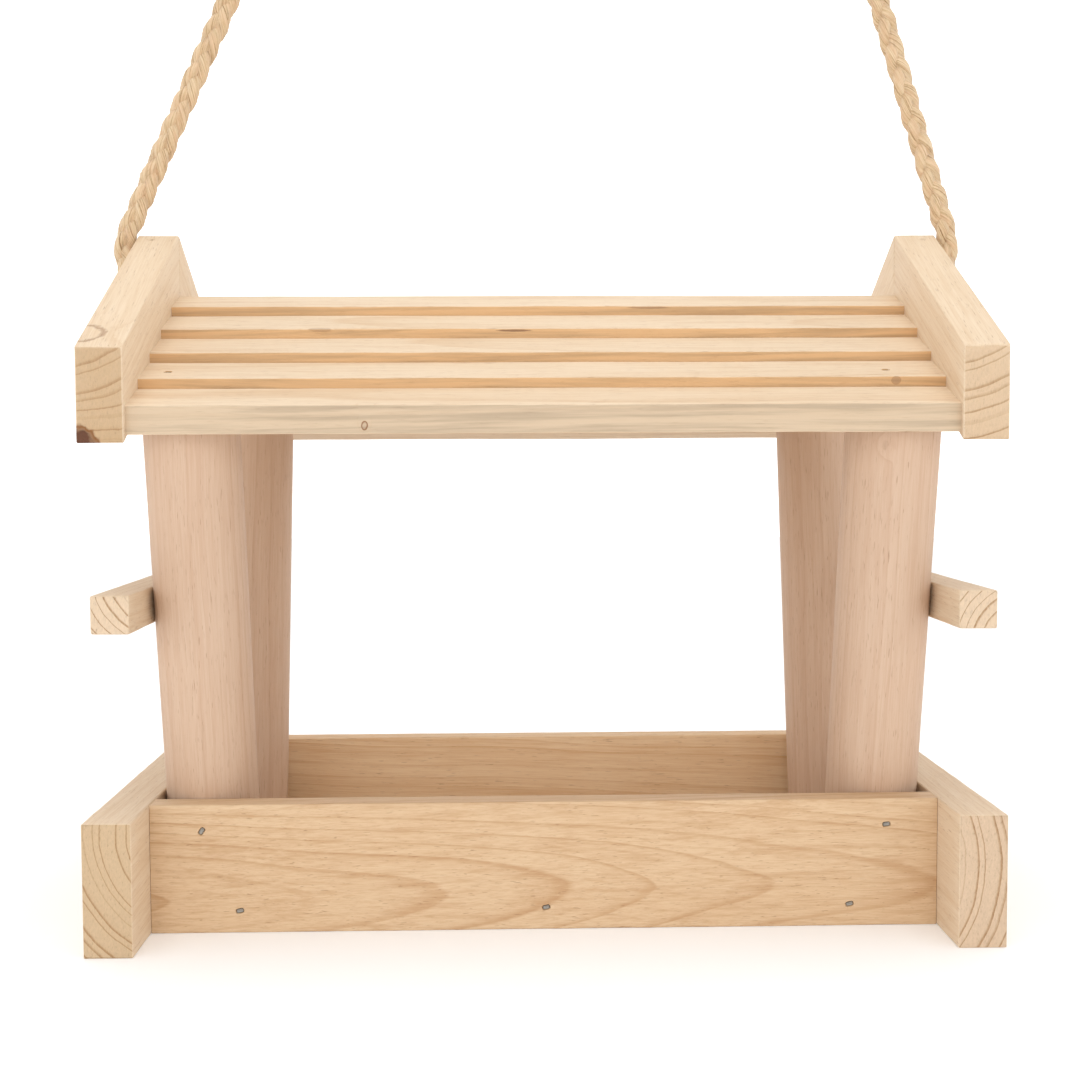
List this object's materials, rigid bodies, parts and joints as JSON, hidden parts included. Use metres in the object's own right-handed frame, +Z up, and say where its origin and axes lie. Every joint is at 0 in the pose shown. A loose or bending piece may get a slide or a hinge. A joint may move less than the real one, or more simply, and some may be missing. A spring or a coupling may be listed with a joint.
{
  "type": "hanging bird feeder",
  "caption": "Open wooden bird table: a shallow seed tray and side perches under a pitched roof of stepped slats, hung from two natural ropes.",
  "frame": {"origin": "middle of the tray's base, on the surface it stands on", "axes": "+Z up, +X along the ridge to the right, +Y from front to rear"},
  "size_m": [0.316, 0.178, 0.4219],
  "materials": {
    "rail_wood": "unfinished, planed, open grain",
    "board_wood": "unfinished, planed, open grain",
    "floor_wood": "unfinished, planed, open grain",
    "post_wood": "unfinished, planed, open grain",
    "perch_wood": "unfinished, planed, open grain",
    "slat_wood": "unfinished, planed, open grain",
    "brad_steel": "dull zinc",
    "jute": "natural twisted fibre"
  },
  "bodies": {
    "root": {"tray_rail_left": "rail_wood", "tray_rail_right": "rail_wood", "tray_board_front": "board_wood", "tray_board_rear": "board_wood", "tray_floor": "floor_wood", "tray_rail_brads": "brad_steel", "tray_floor_brads": "brad_steel", "tray_post_brads": "brad_steel", "post_front_left": "post_wood", "post_front_right": "post_wood", "post_rear_left": "post_wood", "post_rear_right": "post_wood", "perch_left": "perch_wood", "perch_right": "perch_wood", "perch_brads": "brad_steel", "roof_rail_front_left": "rail_wood", "roof_rail_front_right": "rail_wood", "roof_rail_rear_left": "rail_wood", "roof_rail_rear_right": "rail_wood", "roof_rail_brads": "brad_steel", "roof_slat_brads": "brad_steel", "ridge_brads": "brad_steel", "rope_left": "jute", "rope_right": "jute", "rope_eye_left": "jute", "rope_eye_right": "jute", "roof_slat_front_1": "slat_wood", "roof_slat_front_2": "slat_wood", "roof_slat_front_3": "slat_wood", "roof_slat_front_4": "slat_wood", "roof_slat_front_5": "slat_wood", "roof_slat_rear_1": "slat_wood", "roof_slat_rear_2": "slat_wood", "roof_slat_rear_3": "slat_wood", "roof_slat_rear_4": "slat_wood", "roof_slat_rear_5": "slat_wood"}
  },
  "joints": []
}
